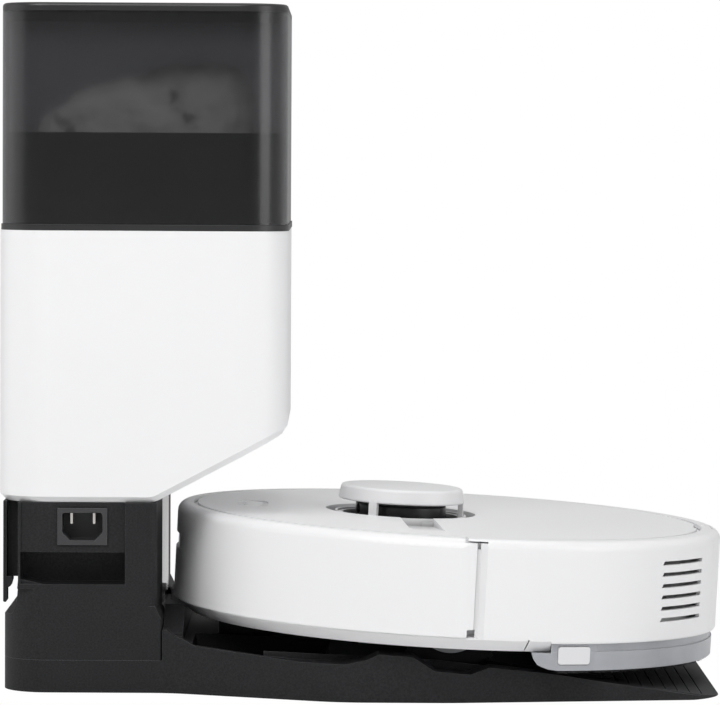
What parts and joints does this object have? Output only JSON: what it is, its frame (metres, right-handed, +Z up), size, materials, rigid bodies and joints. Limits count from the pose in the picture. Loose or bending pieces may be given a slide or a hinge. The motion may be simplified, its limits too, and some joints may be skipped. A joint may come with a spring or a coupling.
{
  "type": "robot vacuum with self-emptying dock",
  "caption": "Round robot vacuum with a laser turret, bumper, mop plate and brushes, parked on a tall self-emptying dock with a lift-off bag lid.",
  "frame": {"origin": "on the floor, under the middle of the whole length, in the dock's plane of symmetry", "axes": "+Z up; -X is the tower's back and +X the ramp's front, so the robot drives off along +X; -Y is the side with the power socket"},
  "size_m": [0.4592, 0.353, 0.4301],
  "materials": {
    "bag_fleece": "matte",
    "battery_wrap": "satin",
    "black_plastic": "matte",
    "brush_rubber": "matte",
    "card": "matte",
    "charcoal_plastic": "matte",
    "circuit_board": "satin",
    "contact_metal": "satin",
    "filter_paper": "matte",
    "frosted_grey": "frosted",
    "gloss_black": "gloss",
    "grey_plastic": "satin",
    "mop_microfibre": "matte",
    "pale_plastic": "satin",
    "screw_steel": "satin",
    "smoked_clear": "clear",
    "soft_rubber": "matte",
    "spring_steel": "bright",
    "tyre_rubber": "matte",
    "white_plastic": "satin"
  },
  "bodies": {
    "dock": {"dock_base": "charcoal_plastic", "base_plate": "black_plastic", "dock_feet": "soft_rubber", "dust_duct": "grey_plastic", "mouth_seal": "soft_rubber", "column_housing": "charcoal_plastic", "ir_window": "gloss_black", "rear_cover": "charcoal_plastic", "power_socket": "grey_plastic", "socket_pins": "contact_metal", "tower_housing": "white_plastic", "tower_bezel": "charcoal_plastic", "bag_tub": "black_plastic", "suction_motor": "grey_plastic", "dock_filter": "filter_paper", "dock_board": "circuit_board"},
    "lid": {"lid": "smoked_clear", "lid_cap": "charcoal_plastic"},
    "bag": {"dust_bag": "bag_fleece", "bag_collar": "card"},
    "contacts": {"dock_contacts": "contact_metal"},
    "robot": {"chassis": "pale_plastic", "battery_door": "pale_plastic", "battery": "battery_wrap", "charging_strips": "contact_metal", "cliff_sensors": "gloss_black", "chassis_screws": "screw_steel", "upper_shell": "white_plastic", "top_cover": "white_plastic", "turret_base": "white_plastic", "suspension_springs": "spring_steel", "brush_housing": "grey_plastic", "brush_cover": "pale_plastic", "fan_module": "black_plastic", "main_board": "circuit_board"},
    "bumper": {"bumper": "white_plastic", "bumper_window": "gloss_black"},
    "turret": {"turret_cap": "white_plastic"},
    "lidar": {"lidar_drum": "black_plastic"},
    "dock_button": {"button_dock": "pale_plastic"},
    "clean_button": {"button_clean": "pale_plastic"},
    "spot_button": {"button_spot": "pale_plastic"},
    "bin": {"dust_bin": "white_plastic", "bin_filter": "filter_paper"},
    "bin_latch": {"bin_latch": "white_plastic"},
    "mop": {"mop_bracket": "frosted_grey", "mop_cloth": "mop_microfibre"},
    "left_mop_latch": {"mop_latch_left": "white_plastic"},
    "right_mop_latch": {"mop_latch_right": "white_plastic"},
    "left_module": {"wheel_module_left": "black_plastic"},
    "right_module": {"wheel_module_right": "black_plastic"},
    "left_wheel": {"tyre_left": "tyre_rubber", "hub_left": "grey_plastic"},
    "right_wheel": {"tyre_right": "tyre_rubber", "hub_right": "grey_plastic"},
    "roller": {"main_brush": "brush_rubber"},
    "spinner": {"side_brush": "black_plastic"},
    "fork": {"caster_fork": "black_plastic"},
    "caster": {"caster_wheel": "black_plastic"}
  },
  "joints": [
    {"name": "lid_lift", "type": "slide", "parent": "dock", "child": "lid", "axis": [0, 0, 1], "range_m": [0, 0.2]},
    {"name": "bag_lift", "type": "slide", "parent": "dock", "child": "bag", "axis": [0, 0, 1], "range_m": [0, 0.02]},
    {"name": "contacts_press", "type": "slide", "parent": "dock", "child": "contacts", "axis": [0, 0, -1], "range_m": [0, 0.002], "stiffness_N_per_m": 800, "springref_m": -0.00125},
    {"name": "robot_drive", "type": "slide", "parent": "dock", "child": "robot", "axis": [0.9989, 0, -0.0471], "range_m": [0, 0.32]},
    {"name": "bumper_press", "type": "slide", "parent": "robot", "child": "bumper", "axis": [0.9989, 0, -0.0471], "range_m": [0, 0.0016], "stiffness_N_per_m": 1500, "springref_m": -0.00167},
    {"name": "turret_press", "type": "slide", "parent": "robot", "child": "turret", "axis": [-0.0471, 0, -0.9989], "range_m": [0, 0.0012], "stiffness_N_per_m": 800, "springref_m": -0.00125},
    {"name": "lidar_spin", "type": "hinge", "parent": "robot", "child": "lidar", "pos_m": [0.02316, 0, 0.10624], "axis": [0.0471, 0, 0.9989], "continuous": true},
    {"name": "dock_button_press", "type": "slide", "parent": "robot", "child": "dock_button", "axis": [-0.0471, 0, -0.9989], "range_m": [0, 0.0008], "stiffness_N_per_m": 600, "springref_m": -0.00083},
    {"name": "clean_button_press", "type": "slide", "parent": "robot", "child": "clean_button", "axis": [-0.0471, 0, -0.9989], "range_m": [0, 0.0008], "stiffness_N_per_m": 600, "springref_m": -0.00083},
    {"name": "spot_button_press", "type": "slide", "parent": "robot", "child": "spot_button", "axis": [-0.0471, 0, -0.9989], "range_m": [0, 0.0008], "stiffness_N_per_m": 600, "springref_m": -0.00083},
    {"name": "bin_pull", "type": "slide", "parent": "robot", "child": "bin", "axis": [0.9989, 0, -0.0471], "range_m": [0, 0.12]},
    {"name": "bin_latch_press", "type": "slide", "parent": "bin", "child": "bin_latch", "axis": [-0.0471, 0, -0.9989], "range_m": [0, 0.0015], "stiffness_N_per_m": 600, "springref_m": -0.001},
    {"name": "mop_pull", "type": "slide", "parent": "robot", "child": "mop", "axis": [0.9989, 0, -0.0471], "range_m": [0, 0.13]},
    {"name": "left_mop_latch_press", "type": "slide", "parent": "mop", "child": "left_mop_latch", "axis": [-0.4374, 0.899, 0.0206], "range_m": [0, 0.002], "stiffness_N_per_m": 600, "springref_m": -0.001},
    {"name": "right_mop_latch_press", "type": "slide", "parent": "mop", "child": "right_mop_latch", "axis": [-0.4374, -0.899, 0.0206], "range_m": [0, 0.002], "stiffness_N_per_m": 600, "springref_m": -0.001},
    {"name": "left_suspension", "type": "hinge", "parent": "robot", "child": "left_module", "pos_m": [0.01949, -0.09, 0.06036], "axis": [0, -1, 0], "range_deg": [0, 14], "stiffness_Nm_per_rad": 1.2, "springref_deg": -20.05},
    {"name": "right_suspension", "type": "hinge", "parent": "robot", "child": "right_module", "pos_m": [0.01949, 0.09, 0.06036], "axis": [0, -1, 0], "range_deg": [0, 14], "stiffness_Nm_per_rad": 1.2, "springref_deg": -20.05},
    {"name": "left_wheel_spin", "type": "hinge", "parent": "left_module", "child": "left_wheel", "pos_m": [0.05307, -0.112, 0.05057], "axis": [0, 1, 0], "continuous": true},
    {"name": "right_wheel_spin", "type": "hinge", "parent": "right_module", "child": "right_wheel", "pos_m": [0.05307, 0.112, 0.05057], "axis": [0, 1, 0], "continuous": true},
    {"name": "main_brush_spin", "type": "hinge", "parent": "robot", "child": "roller", "pos_m": [0.015, 0, 0.05006], "axis": [0, 1, 0], "continuous": true},
    {"name": "side_brush_spin", "type": "hinge", "parent": "robot", "child": "spinner", "pos_m": [-0.04775, 0.1, 0.0355], "axis": [0.0471, 0, 0.9989], "continuous": true},
    {"name": "caster_swivel", "type": "hinge", "parent": "robot", "child": "fork", "pos_m": [-0.06507, 0, 0.05034], "axis": [0.0471, 0, 0.9989], "continuous": true},
    {"name": "caster_roll", "type": "hinge", "parent": "fork", "child": "caster", "pos_m": [-0.06145, 0, 0.04216], "axis": [0, 1, 0], "continuous": true}
  ]
}
